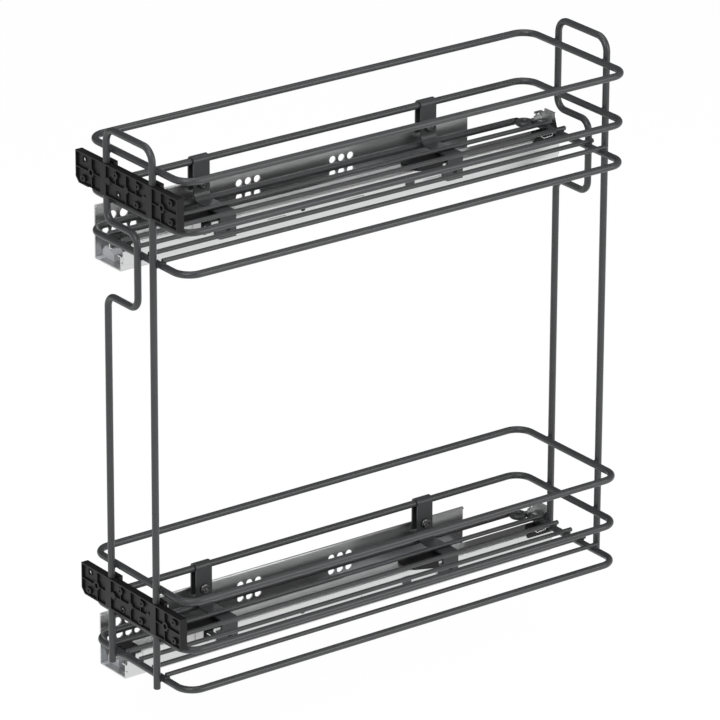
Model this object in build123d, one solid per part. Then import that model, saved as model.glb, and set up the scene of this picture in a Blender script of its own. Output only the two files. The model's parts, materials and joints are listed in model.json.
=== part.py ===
"""Two-tier pull-out cleaning supplies rack for a narrow base cabinet.

Two wire baskets hang on a bent wire frame at the front and at the back.
Each basket rides on a full-extension runner screwed to one cabinet side.

Frame: X = 0 is the cabinet wall, +X points into the cabinet.
Y = 0 is midway between the two screwed hole groups, +Y points to the cabinet's back.
Z = 0 is midway between the two rows of wall screws, +Z points up.
All sizes are in millimetres. The rack is modelled closed.
"""
import os
from build123d import *

os.makedirs("parts", exist_ok=True)

# Baskets: three wire rings each, sizes between wire centres
RING_WIDTH = 136.0
RING_DEPTH = 450.0
RING_CORNER = 15.0
MID_RING_RISE = 36.0
TOP_RING_RISE = 79.4
BASKET_SPACING = 365.4
WALL_TO_RING = 10.0
WIRE = 6.0
FLOOR_WIRE = 4.0
FLOOR_WIRES = 5
FLOOR_PITCH = 19.0
FLOOR_OVERHANG = 4.0
FLOOR_FRONT_OVERHANG = 1.0
FLOOR_END_CHAMFER = 0.4
CORNER_LEG = 20.0
WELD_GAP = 0.05

# Bent wire frames at the front and at the back
LEG_SPREAD = 65.0
FRAME_RISE = 99.0
FRAME_BEND = 12.0
JOG_SHIFT = 43.0
JOG_TOP = 19.5
JOG_BOTTOM = -45.0
JOG_BEND = 10.0
FRONT_LEG_DROP = 8.0
REAR_LEG_DROP = 2.6
LEG_END_ROUND = 0.8

# Cabinet hole grid: 37 mm setback and 32 mm pitch
FIRST_HOLE = 37.0
GRID = 32.0
FRONT_GROUP_STEPS = 4
REAR_GROUP_STEPS = 7
WALL_HOLE_RADIUS = 3.25
WALL_HOLE_PITCH = 9.2
WALL_ROW = 2.5
WALL_ROW_DROP = 12.3
END_HOLE_RADIUS = 4.0
END_HOLE_SETBACK = 29.0
END_HOLE_PITCH = 11.5
END_HOLES = 2
END_ROW_SETBACK = 22.0
END_ROW_HOLES = 4
LONE_HOLE_SETBACK = 78.0

# Cabinet bracket: wall flange, web and right lip, heights from the bottom ring
SHEET = 1.2
BRACKET_FRONT = 12.0
BRACKET_OVERHANG = 14.0
FLANGE_SHORTFALL = 70.0
FLANGE_TOP = 14.0
FLANGE_STEP = -24.0
BRACKET_BOTTOM = -32.0
BRACKET_WIDTH = 38.0
LIP_HEIGHT = 13.4
LIP_RETURN = 4.7
HEM = 1.2
DENT_FRONT = 24.0
DENT_LENGTH = 12.0
DENT_HEIGHT = 2.4

# Cabinet rail: a C channel that opens upwards inside the bracket
RAIL_FRONT = 40.0
RAIL_SHORTFALL = 1.0
RAIL_WIDTH = 17.5
RAIL_LIP = 2.5
LIP_TO_RAIL = 0.3
RIVET_FRONT_INSET = 12.0
RIVET_REAR_INSET = 40.0
RIVET_RADIUS = 2.0
RIVET_HEAD_RADIUS = 3.4
RIVET_HEAD_HEIGHT = 0.8
RIVET_HEAD_ROUND = 0.5
RIVET_FIT = 0.05

# Ball races
BALL = 3.5
BALL_GAP = 0.25
BALL_PITCH = 22.0
BALLS_PER_ROW = 8
CAGE_SHEET = 1.0
CAGE_WEB = 0.5
CAGE_FRONT = 150.0
CAGE_MARGIN = 8.0
CAGE_CLEAR = 0.3
OUTER_CAGE_SIDE = 6.0
INNER_CAGE_SIDE = 4.4
INNER_CAGE_RISE = 1.6
UPPER_BALL_DROP = 0.4
BALL_FIT = 0.05

# Middle profile
MIDDLE_SHEET = 1.5
MIDDLE_SHORTFALL = 9.0
MIDDLE_BOTTOM_GAP = 1.1
MIDDLE_STEP = -15.5
MIDDLE_TOP = -8.0
LOWER_LEG_TOP = -22.5

# Drawer profile: a C channel that opens downwards under the basket
DRAWER_LEFT = 30.0
DRAWER_WIDTH = 20.5
DRAWER_FRONT = 6.0
DRAWER_OVERHANG = 5.0
DRAWER_SKIRT = 18.0
DRAWER_LEFT_SKIRT = 9.4
DRAWER_LIP = 2.3
VALLEY_LEFT = 11.0
VALLEY_WIDTH = 5.0
VALLEY_DEPTH = 1.2
SIDE_SLOT_FRONT = 150.0
SIDE_SLOT_PITCH = 80.0
SIDE_SLOTS = 3
SIDE_SLOT_LENGTH = 18.0
SIDE_SLOT_HEIGHT = 3.0
SIDE_SLOT_DROP = 10.0
PAD_FRONT = 7.0
PAD_LENGTH = 7.0
PAD_HEIGHT = 5.0
PAD_THICK = 0.9
SLIT_LENGTH = 1.5

# Plastic coupling on the drawer profile's front end
COUPLING_FRONT = 0.5
COUPLING_REACH = 12.0
COUPLING_TOP = 1.6
COUPLING_LOW = -4.5
COUPLING_ROUND = 1.0
COUPLING_OVERLAP = 0.5
COUPLING_CHEEK = 1.6
CHEEK_LOW = -8.5
CHEEK_TO_PAD = 0.5
RING_CLEAR = 0.3

# Clips that hang the basket over the drawer profile
CLIP_WIDTH = 16.0
CLIP_SHEET = 1.5
FRONT_CLIP = 109.0
REAR_CLIP_SETBACK = 107.5
CLIP_LEG_LOW = 10.0
CLIP_BEND = 8.0
CLIP_SKIRT = 19.6
SKIRT_BEND = 2.3
FOOT_REACH = 4.8
FOOT_TOP = -6.0
FOOT_CORNER = 6.0
FOOT_SLOT_LENGTH = 4.0
FOOT_SLOT_HEIGHT = 2.5
FOOT_SLOT_LOW = -16.5
FOOT_SLOT_DEPTH = 0.9
SADDLE_INSET = 1.0
SADDLE_REACH = 34.0
SADDLE_THICK = 2.6
SADDLE_TO_EDGE = 0.5
SADDLE_CORNER = 1.5
WEDGE_INSET = 2.0
WEDGE_FRONT_DROP = 3.2
WEDGE_REAR_DROP = 7.9
WEDGE_THICK = 1.4
SCREW_RISE = 17.0
SCREW_SHANK = 4.0
SCREW_HEAD = 9.0
SCREW_HEAD_HEIGHT = 2.4
SCREW_CROWN = 1.2
SCREW_END = 0.6
RECESS_LENGTH = 4.8
RECESS_WIDTH = 1.0
RECESS_DEPTH = 1.2
SCREW_FIT = 0.05

# Ribbed front plates
PLATE_WIDTH = 144.0
PLATE_BOTTOM = 42.0
PLATE_HEIGHT = 27.5
LEG_COVER = 0.65
PLATE_POCKET = 1.7
PLATE_FLOOR = 1.6
PLATE_RIM = 1.2
PLATE_RIB = 0.9
PLATE_CHAMFER = 4.5
RIB_PLACES = (-49.0, 0.0, 49.0)
HALF_RIB_PLACES = (-14.5, 14.5)
LEG_LAND = 8.0
PANEL_SPREAD = 100.0
PANEL_HOLE_RADIUS = 2.1
BOSS_RADIUS = 4.2
SMALL_BOSS_RADIUS = 3.3
SMALL_BOSS_SPREAD = 25.5
OVAL_WIDTH = 7.6
OVAL_HEIGHT = 5.2
HIGH_OVAL_INSET = 6.0
LOW_OVAL_INSET = 5.2
HIGH_OVALS = (-61.5, -15.5, 15.5, 61.5)
LOW_OVALS = (-62.0, -14.0, 14.0, 62.0)
OVAL_HOLE_RADIUS = 1.1
OVAL_HOLE_DEPTH = 2.0
PIN_HOLE_RADIUS = 2.2
PIN_HOLES = ((-61.5, True), (-14.0, False))
PIN_RING_HEIGHT = 0.5
NOTCH_INSET = 18.0
NOTCH_WIDTH = 9.0
NOTCH_HEIGHT = 0.8
CHANNEL_FIT = 0.05
CLAMP_WIDTH = 13.0
CLAMP_DEPTH = 4.4
CLAMP_RISE = 1.0
CLAMP_CORNER = 1.5

# Rear hook, cap and wire eyelet
HOOK_SHEET = 1.5
HOOK_LEFT = 22.3
HOOK_INSET = 3.5
HOOK_SLOPE = 3.7
HOOK_TOP = 13.5
HOOK_SHOULDER = 10.0
HOOK_SHOULDER_WIDTH = 6.6
HOOK_BEND_LEVEL = 2.0
HOOK_LOW = -7.0
SHELF_WIDTH = 4.7
SHELF_REACH = 4.5
LUG_REACH = 1.0
LUG_HOLE_RADIUS = 1.2
LUG_HOLE_PITCH = 3.4
LEG_CLEAR = 0.4
CAP_WIDTH = 10.0
CAP_REACH = 18.0
CAP_TOP = 1.8
CAP_CHAMFER = 0.8
CAP_SIDE = 1.4
CAP_SIDE_REACH = 23.0
CAP_SIDE_DROP = 3.0
CAP_HOLLOW_WALL = 2.0
CAP_HOLLOW_LENGTH = 6.0
CAP_HOLLOW_DEPTH = 1.2
EYELET_RADIUS = 8.0
EYELET_WIRE = 4.8
EYELET_INSET = 7.5

# Latch on the drawer profile
LATCH_TO_FOOT = 5.2
LATCH_LENGTH = 21.9
LATCH_GAP = 2.0
LATCH_THICK = 3.4
LATCH_RISE = 3.4
LATCH_DROP = 6.5
LATCH_SPLIT = 11.7
LATCH_GROOVE = 1.8
LATCH_GROOVE_DEPTH = 1.4
LATCH_CHAMFER = 0.8
LEVER_LENGTH = 8.1
LEVER_THICK = 2.6
LEVER_GAP = 0.3
LEVER_RISE = 5.2
LEVER_DROP = 3.6
LEVER_HUB = 2.6
LEVER_PAD = 0.8
LEVER_PAD_LENGTH = 2.5
LEVER_PIN = 3.0
LEVER_PIN_DROP = 4.2
LEVER_PIN_END = 0.6
LEVER_FIT = 0.06

# Guide nose in the bracket's mouth
NOSE_FRONT = 6.5
NOSE_LENGTH = 19.5
NOSE_TOP = -20.5
NOSE_PEAK = 6.0
NOSE_RIGHT_TOP = -24.8
NOSE_CORNER = 1.8
TONGUE_INSET = 0.5
TONGUE_THICK = 0.8
WALL_CLEAR = 0.3
RAIL_CLEAR = 0.6

# Soft-close unit beside the rail
DAMPER_LENGTH = 126.0
DAMPER_SHORTFALL = 76.0
DAMPER_TOP = -17.0
DAMPER_CORNER = 3.0
DAMPER_AXIS = -23.0
DAMPER_BORE = 2.6
DAMPER_BORE_DEPTH = 38.0
ROD_RADIUS = 2.55
ROD_SHOWN = 10.0
ROD_TIP = 6.0
ROD_TIP_RADIUS = 4.0
WINDOW_FRONT = 48.0
WINDOW_LENGTH = 40.0
WINDOW_INSET = 4.0
WINDOW_DEPTH = 2.5

# Values that follow from the ones above
GROUP_FRONT = FIRST_HOLE + FRONT_GROUP_STEPS * GRID
GROUP_REAR = FIRST_HOLE + REAR_GROUP_STEPS * GRID
Y_MID = (GROUP_FRONT + GROUP_REAR) / 2
R = WIRE / 2
REAR_CLIP = RING_DEPTH - REAR_CLIP_SETBACK
BRACKET_REAR = RING_DEPTH + BRACKET_OVERHANG
FLANGE_REAR = BRACKET_REAR - FLANGE_SHORTFALL
RAIL_REAR = BRACKET_REAR - RAIL_SHORTFALL
RIVET_FRONT = RAIL_FRONT + RIVET_FRONT_INSET
RIVET_REAR = BRACKET_REAR - RIVET_REAR_INSET
RIVETS = (RIVET_FRONT, (RIVET_FRONT + RIVET_REAR) / 2, RIVET_REAR)
DRAWER_RIGHT = DRAWER_LEFT + DRAWER_WIDTH
DRAWER_REAR = RING_DEPTH + DRAWER_OVERHANG
MIDDLE_FRONT = RAIL_FRONT
MIDDLE_REAR = DRAWER_REAR - MIDDLE_SHORTFALL
UPPER = BASKET_SPACING / 2 - WALL_ROW
LOWER = -BASKET_SPACING / 2 - WALL_ROW
LEFT = WALL_TO_RING
RIGHT = WALL_TO_RING + RING_WIDTH
CENTRE_X = (LEFT + RIGHT) / 2
LEG_LEFT = CENTRE_X - LEG_SPREAD / 2
LEG_RIGHT = CENTRE_X + LEG_SPREAD / 2
FRONT_LEG_Y = -WIRE - WELD_GAP
REAR_LEG_Y = RING_DEPTH + WIRE + WELD_GAP
FLOOR_Z = R + FLOOR_WIRE / 2 + WELD_GAP
WEB_TOP = BRACKET_BOTTOM + SHEET
RAIL_RIGHT = BRACKET_WIDTH - SHEET - LIP_TO_RAIL
RAIL_LEFT = RAIL_RIGHT - RAIL_WIDTH
LIP_TOP = BRACKET_BOTTOM + LIP_HEIGHT
RAIL_TOP = LIP_TOP - SHEET - LIP_TO_RAIL
RAIL_FLOOR = WEB_TOP + SHEET
RACE = BALL + 2 * BALL_GAP
LOWER_LEFT_WALL = RAIL_LEFT + SHEET + RACE
LOWER_RIGHT_WALL = RAIL_RIGHT - SHEET - RACE
MIDDLE_BOTTOM = RAIL_FLOOR + MIDDLE_BOTTOM_GAP
DRAWER_TOP = -R - WELD_GAP
UPPER_LEFT_WALL = DRAWER_LEFT + SHEET + RACE
UPPER_RIGHT_WALL = DRAWER_RIGHT - SHEET - RACE
LOWER_BALL_Z = MIDDLE_BOTTOM + BALL
UPPER_BALL_Z = DRAWER_TOP - SHEET - BALL - UPPER_BALL_DROP
CLIP_INNER = R + WELD_GAP
CLIP_RUN_TOP = R
CLIP_MID = CLIP_INNER + CLIP_SHEET / 2
FOOT_FRONT = CLIP_WIDTH / 2 + FOOT_REACH
PLATE_TOP = PLATE_BOTTOM + PLATE_HEIGHT
PLATE_MID = (PLATE_BOTTOM + PLATE_TOP) / 2
PLATE_FRONT = FRONT_LEG_Y - R - LEG_COVER
PLATE_REAR = FRONT_LEG_Y + R + CHANNEL_FIT
HIGH_OVAL_Z = PLATE_TOP - HIGH_OVAL_INSET
LOW_OVAL_Z = PLATE_BOTTOM + LOW_OVAL_INSET
LATCH_PIVOT = FRONT_CLIP - FOOT_FRONT - LATCH_TO_FOOT
LATCH_REAR = LATCH_PIVOT - LEVER_LENGTH - LATCH_GAP
LEVER_Z = DRAWER_TOP - LEVER_PIN_DROP
DAMPER_REAR = BRACKET_REAR - DAMPER_SHORTFALL
DAMPER_FRONT = DAMPER_REAR - DAMPER_LENGTH
DAMPER_LEFT = SHEET + WALL_CLEAR
DAMPER_RIGHT = RAIL_LEFT - RAIL_CLEAR


def at(y):
    """Depth behind the ring's front wire, turned into the part's Y."""
    return y - Y_MID


def block(x0, x1, y0, y1, z0, z1):
    """Box between two corners; y counts from the ring's front wire."""
    size = (x1 - x0, y1 - y0, z1 - z0)
    middle = ((x0 + x1) / 2, at((y0 + y1) / 2), (z0 + z1) / 2)
    return Pos(*middle) * Box(*size)


def profile_x(points, x0, x1):
    """Flat outline in Y and Z, thickened along X."""
    corners = [(at(y), z) for y, z in points]
    plane = Plane(origin=(x0, 0, 0), x_dir=(0, 1, 0), z_dir=(1, 0, 0))
    return extrude(plane * make_face(Polyline(*corners, close=True).edges()), amount=x1 - x0)


def profile_y(points, y0, y1):
    """Flat outline in X and Z, thickened along Y."""
    plane = Plane(origin=(0, at(y1), 0), x_dir=(1, 0, 0), z_dir=(0, -1, 0))
    return extrude(plane * make_face(Polyline(*points, close=True).edges()), amount=y1 - y0)


def bar_x(x0, x1, y, z, radius):
    """Round bar along X."""
    place = Pos((x0 + x1) / 2, at(y), z)
    return place * Rot(0, 90, 0) * Cylinder(radius, x1 - x0)


def bar_y(x, y0, y1, z, radius):
    """Round bar along Y."""
    place = Pos(x, at((y0 + y1) / 2), z)
    return place * Rot(90, 0, 0) * Cylinder(radius, y1 - y0)


def bent_wire(points, bend, diameter):
    """Round wire along a bent line."""
    path = FilletPolyline(*points, radius=bend)
    start = Plane(origin=path @ 0, z_dir=path % 0)
    return sweep(start * Circle(diameter / 2), path=path)


def lift(shape, z):
    """Move a shape up to a basket's bottom ring."""
    return Pos(0, 0, z) * shape


def save(node, shapes):
    """Write one node; a list becomes a group of solids."""
    if isinstance(shapes, list):
        shapes = Compound(children=shapes)
    shapes.label = node
    export_step(shapes, "parts/" + node + ".step")
    print(node, round(shapes.volume))


def ring_corner(x, y, rise, across, along):
    """Bent corner of a ring; across and along are the ways its two legs point."""
    path = [
        (x + across * CORNER_LEG, at(y), rise),
        (x, at(y), rise),
        (x, at(y + along * CORNER_LEG), rise),
    ]
    return bent_wire(path, RING_CORNER, WIRE)


def ring(rise):
    """Closed wire ring: four bent corners and four straight wires, end to end."""
    wires = []
    for y, along in ((0, 1), (RING_DEPTH, -1)):
        wires.append(ring_corner(LEFT, y, rise, 1, along))
        wires.append(ring_corner(RIGHT, y, rise, -1, along))
        wires.append(bar_x(LEFT + CORNER_LEG, RIGHT - CORNER_LEG, y, rise, R))
    for x in (LEFT, RIGHT):
        wires.append(bar_y(x, CORNER_LEG, RING_DEPTH - CORNER_LEG, rise, R))
    return wires


def bottom_ring():
    """Lowest ring, open at the rear left corner where the wire eye sits."""
    x = LEFT + EYELET_INSET
    y = at(RING_DEPTH - EYELET_INSET)
    room = Pos(x, y, 0) * Cylinder(EYELET_RADIUS + WELD_GAP, 2 * WIRE)
    front_left, front_right, front, rear_left, *others = ring(0)
    return [front_left, front_right, front, rear_left - room] + others


def floor_wires():
    """Five thin wires lying on the bottom ring's end wires."""
    wires = []
    rear = RING_DEPTH + FLOOR_OVERHANG
    for i in range(FLOOR_WIRES):
        x = CENTRE_X + (i - (FLOOR_WIRES - 1) / 2) * FLOOR_PITCH
        wire = bar_y(x, -FLOOR_FRONT_OVERHANG, rear, FLOOR_Z, FLOOR_WIRE / 2)
        wires.append(chamfer(wire.edges().filter_by(GeomType.CIRCLE), FLOOR_END_CHAMFER))
    return wires


def frame(y, drop):
    """Inverted U of wire; its left leg steps aside at the upper basket."""
    top = UPPER + FRAME_RISE
    foot = LOWER - drop
    jog_x = LEG_LEFT + JOG_SHIFT
    middle = (CENTRE_X, at(y), top)
    left = bent_wire(
        [
            middle,
            (LEG_LEFT, at(y), top),
            (LEG_LEFT, at(y), UPPER + JOG_TOP),
            (jog_x, at(y), UPPER + JOG_TOP),
            (jog_x, at(y), UPPER + JOG_BOTTOM),
            (LEG_LEFT, at(y), UPPER + JOG_BOTTOM),
            (LEG_LEFT, at(y), foot),
        ],
        [FRAME_BEND, JOG_BEND, JOG_BEND, JOG_BEND, JOG_BEND],
        WIRE,
    )
    right = bent_wire(
        [middle, (LEG_RIGHT, at(y), top), (LEG_RIGHT, at(y), foot)],
        FRAME_BEND,
        WIRE,
    )
    shape = left + right
    ends = shape.edges().filter_by(GeomType.CIRCLE).group_by(Axis.Z)[0]
    return fillet(ends, LEG_END_ROUND)


def wall_bracket():
    """Folded sheet bracket: wall flange, web and right lip with a return."""
    y0 = BRACKET_FRONT
    y1 = BRACKET_REAR
    right = BRACKET_WIDTH
    flange = block(0, SHEET, y0, FLANGE_REAR, BRACKET_BOTTOM, FLANGE_TOP)
    low_flange = block(0, SHEET, y0, y1, BRACKET_BOTTOM, FLANGE_STEP)
    hem = block(SHEET, SHEET + HEM, y0, FLANGE_REAR, FLANGE_TOP - HEM, FLANGE_TOP)
    web = block(0, right, y0, y1, BRACKET_BOTTOM, WEB_TOP)
    lip = block(right - SHEET, right, y0, y1, BRACKET_BOTTOM, LIP_TOP)
    turned = block(right - LIP_RETURN, right, y0, y1, LIP_TOP - SHEET, LIP_TOP)
    body = flange + low_flange + hem + web + lip + turned
    outer = body.edges().filter_by(Axis.Y).group_by(Axis.Z)[0]
    body = fillet(outer, SHEET)
    top = body.edges().filter_by(Axis.Y).filter_by_position(Axis.Z, LIP_TOP - 0.01, LIP_TOP + 0.01)
    body = fillet(top.sort_by(Axis.X)[-1], SHEET * 0.8)
    cuts = []
    for y in (GROUP_FRONT, GROUP_REAR):
        for row in (WALL_ROW, WALL_ROW - WALL_ROW_DROP):
            for step in (-1, 0, 1):
                place = y + step * WALL_HOLE_PITCH
                cuts.append(bar_x(-1, SHEET + 1, place, row, WALL_HOLE_RADIUS))
    for step in range(END_HOLES):
        place = END_HOLE_SETBACK + step * END_HOLE_PITCH
        cuts.append(bar_x(-1, SHEET + 1, place, WALL_ROW, END_HOLE_RADIUS))
    for step in range(END_ROW_HOLES):
        place = END_ROW_SETBACK + step * WALL_HOLE_PITCH
        row = WALL_ROW - WALL_ROW_DROP
        cuts.append(bar_x(-1, SHEET + 1, place, row, WALL_HOLE_RADIUS))
    cuts.append(bar_x(-1, SHEET + 1, LONE_HOLE_SETBACK, WALL_ROW, WALL_HOLE_RADIUS))
    low = (BRACKET_BOTTOM + LIP_TOP - DENT_HEIGHT) / 2
    dent_rear = DENT_FRONT + DENT_LENGTH
    cuts.append(block(right - SHEET / 2, right + 1, DENT_FRONT, dent_rear, low, low + DENT_HEIGHT))
    return body - cuts - rivet_holes()


def cabinet_rail():
    """C channel that sits on the bracket's web and holds the lower balls."""
    y0 = RAIL_FRONT
    y1 = RAIL_REAR
    body = block(RAIL_LEFT, RAIL_RIGHT, y0, y1, WEB_TOP, RAIL_TOP)
    inner_l = RAIL_LEFT + SHEET
    inner_r = RAIL_RIGHT - SHEET
    room = block(inner_l, inner_r, y0 - 1, y1 + 1, RAIL_FLOOR, RAIL_TOP - SHEET)
    mouth_l = inner_l + RAIL_LIP
    mouth_r = inner_r - RAIL_LIP
    mouth = block(mouth_l, mouth_r, y0 - 1, y1 + 1, RAIL_FLOOR, RAIL_TOP + 1)
    return body - [room, mouth] - rivet_holes()


def middle_profile():
    """Stepped sheet profile: a lower channel in the rail, an upper one in the drawer."""
    t = MIDDLE_SHEET
    y0 = MIDDLE_FRONT
    y1 = MIDDLE_REAR
    left = block(LOWER_LEFT_WALL, LOWER_LEFT_WALL + t, y0, y1, MIDDLE_BOTTOM, LOWER_LEG_TOP)
    floor_z = MIDDLE_BOTTOM + t
    floor = block(LOWER_LEFT_WALL, LOWER_RIGHT_WALL, y0, y1, MIDDLE_BOTTOM, floor_z)
    neck_l = LOWER_RIGHT_WALL - t
    step_top = MIDDLE_STEP + t
    neck = block(neck_l, LOWER_RIGHT_WALL, y0, y1, MIDDLE_BOTTOM, step_top)
    step = block(neck_l, UPPER_RIGHT_WALL, y0, y1, MIDDLE_STEP, step_top)
    inner = block(UPPER_LEFT_WALL, UPPER_LEFT_WALL + t, y0, y1, MIDDLE_STEP, MIDDLE_TOP)
    outer = block(UPPER_RIGHT_WALL - t, UPPER_RIGHT_WALL, y0, y1, MIDDLE_STEP, MIDDLE_TOP)
    return left + floor + neck + step + inner + outer


def cage_length():
    return (BALLS_PER_ROW - 1) * BALL_PITCH + 2 * CAGE_MARGIN


def ball_cage(wall_l, wall_r, web_z, side_z, ball_z):
    """Strip cage with one row of ball pockets in each side."""
    y0 = CAGE_FRONT
    y1 = CAGE_FRONT + cage_length()
    half = CAGE_SHEET / 2
    mid_l = wall_l - RACE / 2
    mid_r = wall_r + RACE / 2
    low = min(web_z, side_z)
    high = max(web_z, side_z)
    web = block(mid_l - half, mid_r + half, y0, y1, web_z, web_z + CAGE_WEB)
    side_l = block(mid_l - half, mid_l + half, y0, y1, low, high)
    side_r = block(mid_r - half, mid_r + half, y0, y1, low, high)
    pockets = []
    for i in range(BALLS_PER_ROW):
        y = y0 + CAGE_MARGIN + i * BALL_PITCH
        for x in (mid_l, mid_r):
            pockets.append(bar_x(x - 1, x + 1, y, ball_z, BALL / 2 + BALL_FIT))
    return web + side_l + side_r - pockets


def balls(wall_l, wall_r, ball_z):
    """Steel balls of one cage, as a group of solids."""
    group = []
    for i in range(BALLS_PER_ROW):
        y = CAGE_FRONT + CAGE_MARGIN + i * BALL_PITCH
        for x in (wall_l - RACE / 2, wall_r + RACE / 2):
            group.append(Pos(x, at(y), ball_z) * Sphere(BALL / 2))
    return group


def drawer_profile():
    """C channel that opens downwards, its right wall deeper than its left."""
    y0 = DRAWER_FRONT
    y1 = DRAWER_REAR
    top = DRAWER_TOP
    web = block(DRAWER_LEFT, DRAWER_RIGHT, y0, y1, top - SHEET, top)
    low_r = top - DRAWER_SKIRT
    low_l = top - DRAWER_LEFT_SKIRT
    inner_l = DRAWER_LEFT + SHEET
    inner_r = DRAWER_RIGHT - SHEET
    left = block(DRAWER_LEFT, inner_l, y0, y1, low_l, top)
    right = block(inner_r, DRAWER_RIGHT, y0, y1, low_r, top)
    foot_l = block(DRAWER_LEFT, inner_l + DRAWER_LIP, y0, y1, low_l, low_l + SHEET)
    foot_r = block(inner_r - DRAWER_LIP, DRAWER_RIGHT, y0, y1, low_r, low_r + SHEET)
    body = web + left + right + foot_l + foot_r
    corner = body.edges().filter_by(Axis.Y).group_by(Axis.Z)[-1]
    body = fillet(corner, SHEET)
    valley_l = DRAWER_LEFT + VALLEY_LEFT
    valley_r = valley_l + VALLEY_WIDTH
    low = top - VALLEY_DEPTH
    body = body - block(valley_l, valley_r, y0 - 1, y1 + 1, low, top + 1)
    body = body + block(valley_l - SHEET, valley_r + SHEET, y0, y1, low - SHEET, top - SHEET)
    body = body - block(valley_l, valley_r, y0 - 1, y1 + 1, low, top + 1)
    pad_front = y0 + PAD_FRONT
    pad_rear = pad_front + PAD_LENGTH
    pad_top = top - SHEET
    pad_low = pad_top - PAD_HEIGHT
    body = body + block(inner_r, DRAWER_RIGHT + PAD_THICK, pad_front, pad_rear, pad_low, pad_top)
    cuts = [bar_x(inner_r - 2, DRAWER_RIGHT + 2, LATCH_PIVOT, LEVER_Z, LEVER_PIN / 2)]
    slit_rear = pad_rear + SLIT_LENGTH
    cuts.append(block(inner_r - 1, DRAWER_RIGHT + 2, pad_rear, slit_rear, pad_low, pad_top))
    slot_top = top - SIDE_SLOT_DROP
    slot_low = slot_top - SIDE_SLOT_HEIGHT
    for i in range(SIDE_SLOTS):
        y = SIDE_SLOT_FRONT + i * SIDE_SLOT_PITCH
        slot_rear = y + SIDE_SLOT_LENGTH
        cuts.append(block(inner_r - 1, DRAWER_RIGHT + 1, y, slot_rear, slot_low, slot_top))
    return body - cuts


def front_coupling():
    """Plastic coupling over the drawer profile's front end, behind the ring's front wire."""
    x0 = DRAWER_LEFT - COUPLING_OVERLAP
    x1 = DRAWER_RIGHT + WELD_GAP + COUPLING_CHEEK
    seat = DRAWER_FRONT - WELD_GAP
    rear = DRAWER_FRONT + COUPLING_REACH
    face = block(x0, x1, COUPLING_FRONT, seat, COUPLING_LOW, COUPLING_TOP)
    top = block(x0, x1, seat - 1, rear, DRAWER_TOP, COUPLING_TOP)
    cheek_rear = DRAWER_FRONT + PAD_FRONT - CHEEK_TO_PAD
    cheek_l = DRAWER_RIGHT + WELD_GAP
    cheek = block(cheek_l, x1, seat - 1, cheek_rear, CHEEK_LOW, COUPLING_TOP)
    body = face + top + cheek
    edges = body.edges().filter_by(Axis.Y).group_by(Axis.Z)[-1]
    body = fillet(edges, COUPLING_ROUND)
    wire = bar_x(x0 - 1, x1 + 1, 0, 0, R + RING_CLEAR)
    above = block(x0 - 1, x1 + 1, -1, R + RING_CLEAR, 0, COUPLING_TOP + 1)
    return body - [wire, above]


def clip(y):
    """Painted sheet strap: over the mid ring, down, and under the floor wires."""
    edge = LEFT - CLIP_MID
    inner = LEFT + CLIP_MID
    crown = MID_RING_RISE + CLIP_MID
    run = CLIP_RUN_TOP - CLIP_SHEET / 2
    seat = DRAWER_RIGHT + WELD_GAP
    skirt = seat + CLIP_SHEET / 2
    path = FilletPolyline(
        (edge, at(y), CLIP_LEG_LOW),
        (edge, at(y), crown),
        (inner, at(y), crown),
        (inner, at(y), run),
        (skirt, at(y), run),
        (skirt, at(y), -CLIP_SKIRT),
        radius=[CLIP_MID - 0.01, CLIP_MID - 0.01, CLIP_BEND, SKIRT_BEND],
    )
    start = Plane(origin=path @ 0, x_dir=(0, 1, 0), z_dir=path % 0)
    strap = sweep(start * Rectangle(CLIP_WIDTH, CLIP_SHEET), path=path)
    half = CLIP_WIDTH / 2
    foot = block(seat, seat + CLIP_SHEET, y - FOOT_FRONT, y + half, -CLIP_SKIRT, FOOT_TOP)
    corner = foot.edges().filter_by(Axis.X).group_by(Axis.Z)[0].sort_by(Axis.Y)[0]
    foot = fillet(corner, FOOT_CORNER)
    hole = SCREW_SHANK / 2 + SCREW_FIT
    screw = bar_x(edge - 3, inner + 3, y, SCREW_RISE, hole)
    slot_top = FOOT_SLOT_LOW + FOOT_SLOT_HEIGHT
    deep = seat + CLIP_SHEET - FOOT_SLOT_DEPTH
    slot = block(deep, seat + 3, y - 1, y - 1 + FOOT_SLOT_LENGTH, FOOT_SLOT_LOW, slot_top)
    return strap + foot - [screw, slot]


def clip_screw(y):
    """Pan-head cross-recess screw through both legs of a clip."""
    face = LEFT + CLIP_INNER + CLIP_SHEET
    end = LEFT - CLIP_INNER - CLIP_SHEET - SCREW_END
    shank = bar_x(end, face, y, SCREW_RISE, SCREW_SHANK / 2)
    top = face + SCREW_HEAD_HEIGHT
    head = bar_x(face, top, y, SCREW_RISE, SCREW_HEAD / 2)
    crown = head.edges().filter_by(GeomType.CIRCLE).group_by(Axis.X)[-1]
    head = fillet(crown, SCREW_CROWN)
    low = top - RECESS_DEPTH
    long = RECESS_LENGTH / 2
    wide = RECESS_WIDTH / 2
    arm = block(low, top + 1, y - long, y + long, SCREW_RISE - wide, SCREW_RISE + wide)
    cross = block(low, top + 1, y - wide, y + wide, SCREW_RISE - long, SCREW_RISE + long)
    return shank + head - [arm, cross]


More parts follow.
